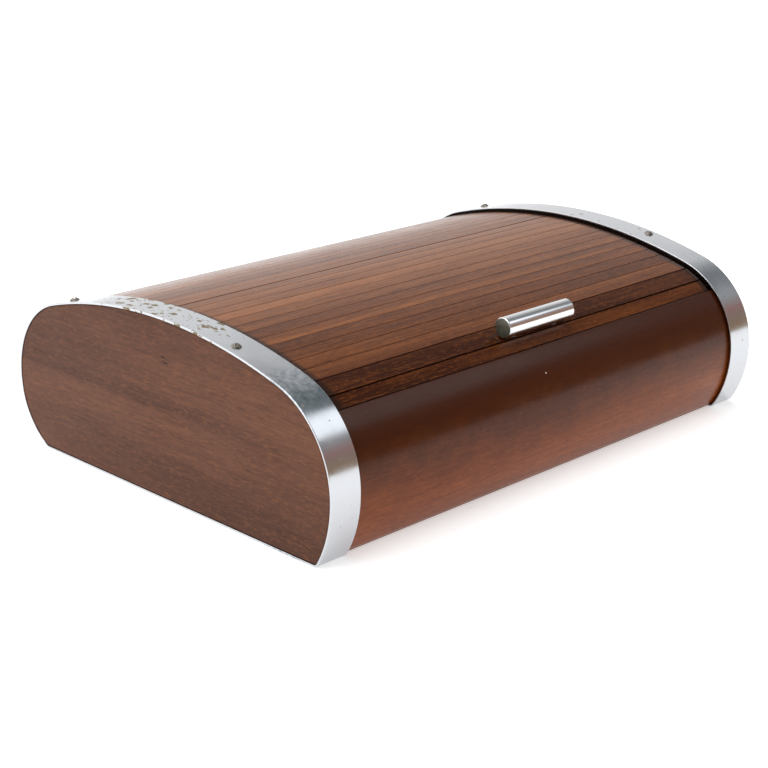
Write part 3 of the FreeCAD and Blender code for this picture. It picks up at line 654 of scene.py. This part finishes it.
def slat_mesh(pitch, before, after):
    """One slat lying along X, its face up, with half of each neighbouring gap taken off its edges."""
    bm = bmesh.new()
    low, high = -0.5 * pitch + 0.5 * before, 0.5 * pitch - 0.5 * after
    middle, half = 0.5 * (low + high), 0.5 * (high - low)
    tall = SLAT_T - CROWN
    bmesh.ops.create_cube(bm, size=1.0)
    bmesh.ops.scale(bm, verts=bm.verts, vec=(2.0 * SLAT_HALF * MM, 2.0 * half * MM, tall * MM))
    bmesh.ops.translate(bm, verts=bm.verts, vec=(0.0, 0.0, -0.5 * CROWN * MM))
    for v in bm.verts:
        if v.co.z < 0.0:
            v.co.y -= math.copysign(RELIEF * MM, v.co.y)
    upper = [e for e in bm.edges if e.verts[0].co.z > 0.0 and e.verts[1].co.z > 0.0]
    bmesh.ops.bevel(bm, geom=upper, offset=EASE * MM, segments=3, profile=0.5, affect="EDGES", material=-1)
    for cut in (-0.5, 0.0, 0.5):
        bmesh.ops.bisect_plane(bm, geom=list(bm.verts) + list(bm.edges) + list(bm.faces),
                               plane_co=(0.0, cut * half * MM, 0.0), plane_no=(0.0, 1.0, 0.0))
    top = 0.5 * SLAT_T * MM - CROWN * MM - 1e-6
    for v in bm.verts:
        if v.co.z > top:
            v.co.z += CROWN * MM * max(0.0, 1.0 - (v.co.y / ((half - EASE) * MM)) ** 2)
    bmesh.ops.translate(bm, verts=bm.verts, vec=(0.0, middle * MM, 0.0))
    bmesh.ops.recalc_face_normals(bm, faces=bm.faces)
    return bm


# Painted shade and dark reflection: the last few mm of each slat, from about 177 mm out to the end at 184
# mm, are darkened with a ragged edge, as under the hoops' overhang.
slat_finish = wood("slat_lacquer", (0.042, 0.0096, 0.0027), (0.140, 0.040, 0.0095), (0.270, 0.092, 0.025),
                   band_scale=0.9, pores=0.35, flecks=0.22, gloss=(0.22, 0.3), coat=0.30, bump=0.08,
                   shine=0.02, per_slat=True, stain_and_painted_shade=("X", 0.1772, 0.1815, 0.85, (0.020, 0.008, 0.005)))
for i, pitch in enumerate(PITCHES):
    bm = slat_mesh(pitch, KERFS[i], KERFS[i + 1])
    bmesh.ops.transform(bm, verts=bm.verts, matrix=SLAT_PLACES[i])
    piece = build(bm, "tambour_%02d" % (i + 1), slat_finish, carrier(i),
                  ["slat_%02d" % (i + 1)])
    for label, value in (("tone", TONES[i]), ("cut", 0.37 * i)):
        layer = piece.data.attributes.new(label, "FLOAT", "POINT")
        layer.data.foreach_set("value", [value] * len(piece.data.vertices))


# ---------------------------------------------------------------------------
# The canvas: one dark strip of coarse cloth glued behind the slats. It is
# made here in a width per slat, each carried by its slat, so that it bends
# with them; its edges stand out past the slats and run in the grooves.
# ---------------------------------------------------------------------------
CANVAS_T, CANVAS_HALF, CANVAS_GAP = 0.8, 198.0, 0.05


def cloth(name):
    """A coarse plain weave with dust in it."""
    m, t, s = new_material(name)
    where = put(t, "ShaderNodeTexCoord").outputs["Object"]
    warp = put(t, "ShaderNodeTexWave", {"wave_type": "BANDS", "bands_direction": "X"}, Vector=where,
               Scale=260.0, Distortion=0.6, Detail=1.0)
    weft = put(t, "ShaderNodeTexWave", {"wave_type": "BANDS", "bands_direction": "Y"}, Vector=where,
               Scale=260.0, Distortion=0.6, Detail=1.0)
    weave = put(t, "ShaderNodeMath", {"operation": "MULTIPLY"}, _0=warp.outputs["Fac"],
                _1=weft.outputs["Fac"])
    colour = put(t, "ShaderNodeMix", {"data_type": "RGBA"}, Factor=weave.outputs[0],
                 _6=(0.022, 0.016, 0.011, 1.0), _7=(0.06, 0.045, 0.03, 1.0))
    t.links.new(colour.outputs[2], s.inputs["Base Color"])
    dust = put(t, "ShaderNodeGroup", {"node_tree": PATCHES}, Vector=where, Scale=60.0, Low=0.8, High=0.95)
    t.links.new(dust.outputs["Value"], s.inputs["Roughness"])
    relief = put(t, "ShaderNodeBump", None, Strength=0.6, Distance=0.0003, Height=weave.outputs[0])
    t.links.new(relief.outputs["Normal"], s.inputs["Normal"])
    return m


canvas_finish = cloth("canvas_cloth")
strips = {}
for i, pitch in enumerate(PITCHES):
    bm = strips.setdefault(carrier(i), bmesh.new())
    made = bmesh.ops.create_cube(bm, size=1.0)["verts"]
    bmesh.ops.scale(bm, verts=made, vec=(2.0 * CANVAS_HALF * MM, (pitch - CANVAS_GAP) * MM, CANVAS_T * MM))
    bmesh.ops.translate(bm, verts=made, vec=(0.0, 0.0, -(0.5 * SLAT_T + CANVAS_GAP + 0.5 * CANVAS_T) * MM))
    bmesh.ops.transform(bm, verts=made, matrix=SLAT_PLACES[i])
for body, bm in strips.items():
    build(bm, "canvas_of_" + body, canvas_finish, body, ["canvas"])


# ---------------------------------------------------------------------------
# The slat pins: short brass pins that show as glints between the slat ends
# and the end boards, under the overhang of the hoops.
# ---------------------------------------------------------------------------
PIN_R, PIN_OUT, PIN_IN, PIN_LIFT = 0.75, 189.5, 180.0, 0.8
pin_finish = dull_steel("pin_brass", (0.72, 0.60, 0.36), (0.35, 0.25, 0.12), (0.2, 0.4))
pins = {}
for i, pitch in enumerate(PITCHES):
    bm = pins.setdefault(carrier(i), bmesh.new())
    for sign in (-1.0, 1.0):
        made = bmesh.ops.create_cone(bm, cap_ends=True, segments=14, radius1=PIN_R * MM, radius2=PIN_R * MM,
                                     depth=(PIN_OUT - PIN_IN) * MM)["verts"]
        bmesh.ops.rotate(bm, verts=made, cent=(0.0, 0.0, 0.0), matrix=Matrix.Rotation(QUARTER, 3, "Y"))
        bmesh.ops.translate(bm, verts=made, vec=(sign * 0.5 * (PIN_OUT + PIN_IN) * MM, 0.0, PIN_LIFT * MM))
        bmesh.ops.transform(bm, verts=made, matrix=SLAT_PLACES[i])
for body, bm in pins.items():
    build(bm, "pins_of_" + body, pin_finish, body)


# ---------------------------------------------------------------------------
# The handle: a turned and polished steel bar with chamfered ends, held just
# clear of the wide slat by two collars and bolted through it from inside.
# ---------------------------------------------------------------------------
BAR_R, BAR_HALF, BAR_LIFT, BAR_SHIFT, CHAMFER = 6.9, 32.0, 0.8, -2.4, 0.6


def bar_mesh():
    """The bar turned about its own length and set above the wide slat; its ends take the second finish."""
    bm = bmesh.new()
    profile = [(-BAR_HALF, 0.0), (-BAR_HALF, BAR_R - CHAMFER), (-BAR_HALF + CHAMFER, BAR_R),
               (BAR_HALF - CHAMFER, BAR_R), (BAR_HALF, BAR_R - CHAMFER), (BAR_HALF, 0.0)]
    verts = [bm.verts.new((x * MM, 0.0, r * MM)) for x, r in profile]
    edges = [bm.edges.new(pair) for pair in zip(verts, verts[1:])]
    bmesh.ops.spin(bm, geom=verts + edges, cent=(0.0, 0.0, 0.0), axis=(1.0, 0.0, 0.0), angle=4.0 * QUARTER,
                   steps=72, use_merge=True)
    bmesh.ops.remove_doubles(bm, verts=bm.verts, dist=0.01 * MM)
    bmesh.ops.recalc_face_normals(bm, faces=bm.faces)
    for f in bm.faces:
        f.material_index = 1 if abs(f.normal.x) > 0.95 else 0
    lift = 0.5 * SLAT_T + BAR_LIFT + BAR_R
    bmesh.ops.translate(bm, verts=bm.verts, vec=(0.0, BAR_SHIFT * MM, lift * MM))
    bmesh.ops.transform(bm, verts=bm.verts, matrix=SLAT_PLACES[1])
    return bm


def polished(name):
    """Polished bar: a mirror with fine drawn lines along it."""
    m, t, s = new_material(name)
    where = put(t, "ShaderNodeTexCoord").outputs["Object"]
    drawn = put(t, "ShaderNodeVectorMath", {"operation": "MULTIPLY"}, _0=where, _1=(18.0, 1500.0, 1500.0))
    lines = put(t, "ShaderNodeTexNoise", None, Vector=drawn.outputs[0], Scale=1.0, Detail=3.0, Roughness=0.6)
    rough = put(t, "ShaderNodeMapRange", None, Value=lines.outputs["Fac"], From_Min=0.3, From_Max=0.7,
                To_Min=0.07, To_Max=0.2)
    t.links.new(rough.outputs["Result"], s.inputs["Roughness"])
    tint = put(t, "ShaderNodeMix", {"data_type": "RGBA"}, Factor=lines.outputs["Fac"],
               _6=(0.66, 0.66, 0.67, 1.0), _7=(0.78, 0.78, 0.79, 1.0))
    t.links.new(tint.outputs[2], s.inputs["Base Color"])
    relief = put(t, "ShaderNodeBump", None, Strength=0.12, Distance=0.0001, Height=lines.outputs["Fac"])
    t.links.new(relief.outputs["Normal"], s.inputs["Normal"])
    s.inputs["Metallic"].default_value = 1.0
    return m


def turned_face(name, centre):
    """The sawn and turned ends of the bar: fine rings about its axis, dull and slightly green."""
    m, t, s = new_material(name)
    where = put(t, "ShaderNodeTexCoord").outputs["Object"]
    local = put(t, "ShaderNodeVectorMath", {"operation": "SUBTRACT"}, _0=where, _1=centre)
    flat = put(t, "ShaderNodeVectorMath", {"operation": "MULTIPLY"}, _0=local.outputs[0], _1=(0.0, 1.0, 1.0))
    far = put(t, "ShaderNodeVectorMath", {"operation": "LENGTH"}, _0=flat.outputs[0])
    turns = put(t, "ShaderNodeMath", {"operation": "MULTIPLY"}, _0=far.outputs["Value"], _1=9000.0)
    rings = put(t, "ShaderNodeMath", {"operation": "SINE"}, _0=turns.outputs[0])
    shade = put(t, "ShaderNodeMapRange", None, Value=rings.outputs[0], From_Min=-1.0, From_Max=1.0,
                To_Min=0.0, To_Max=1.0)
    colour = put(t, "ShaderNodeMix", {"data_type": "RGBA"}, Factor=shade.outputs["Result"],
                 _6=(0.10, 0.105, 0.08, 1.0), _7=(0.17, 0.175, 0.14, 1.0))
    t.links.new(colour.outputs[2], s.inputs["Base Color"])
    worn = put(t, "ShaderNodeGroup", {"node_tree": PATCHES}, Vector=where, Scale=300.0, Low=0.35, High=0.55)
    t.links.new(worn.outputs["Value"], s.inputs["Roughness"])
    relief = put(t, "ShaderNodeBump", None, Strength=0.25, Distance=0.0001, Height=shade.outputs["Result"])
    t.links.new(relief.outputs["Normal"], s.inputs["Normal"])
    s.inputs["Metallic"].default_value = 0.9
    return m


bar_centre = SLAT_PLACES[1] @ Vector((0.0, BAR_SHIFT * MM, (0.5 * SLAT_T + BAR_LIFT + BAR_R) * MM))
build(bar_mesh(), "handle_rod", [polished("bar_polish"), turned_face("bar_ends", tuple(bar_centre))],
      "handle_slat", ["handle_bar"])
collar_finish = dull_steel("collar_steel", (0.5, 0.5, 0.5), (0.3, 0.28, 0.25), (0.2, 0.35))
dress(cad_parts["handle_collars"], collar_finish)


# ---------------------------------------------------------------------------
# Inside: the floor board, the corner cleats and the two stop dowels, planed
# and left bare, darkened by use.
# ---------------------------------------------------------------------------
bare_finish = wood("bare_mahogany", (0.13, 0.06, 0.033), (0.22, 0.115, 0.065), (0.31, 0.18, 0.11),
                   band_scale=0.8, pores=0.5, gloss=(0.6, 0.75), bump=0.2)
dowel_finish = wood("dowel_beech", (0.30, 0.19, 0.10), (0.42, 0.28, 0.16), (0.52, 0.37, 0.23),
                    band_scale=1.4, pores=0.2, gloss=(0.5, 0.65), bump=0.15)
cleat_finish = wood("cleat_mahogany", (0.13, 0.06, 0.033), (0.22, 0.115, 0.065), (0.31, 0.18, 0.11),
                    turn=(0.0, 0.0, QUARTER), band_scale=0.8, pores=0.5, gloss=(0.55, 0.7), bump=0.2)
dress(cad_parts["floor_panel"], bare_finish)
dress(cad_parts["front_cleat"], bare_finish)
for node in ("left_cleat", "right_cleat"):
    dress(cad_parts[node], cleat_finish)
dress(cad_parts["stop_dowels"], dowel_finish)
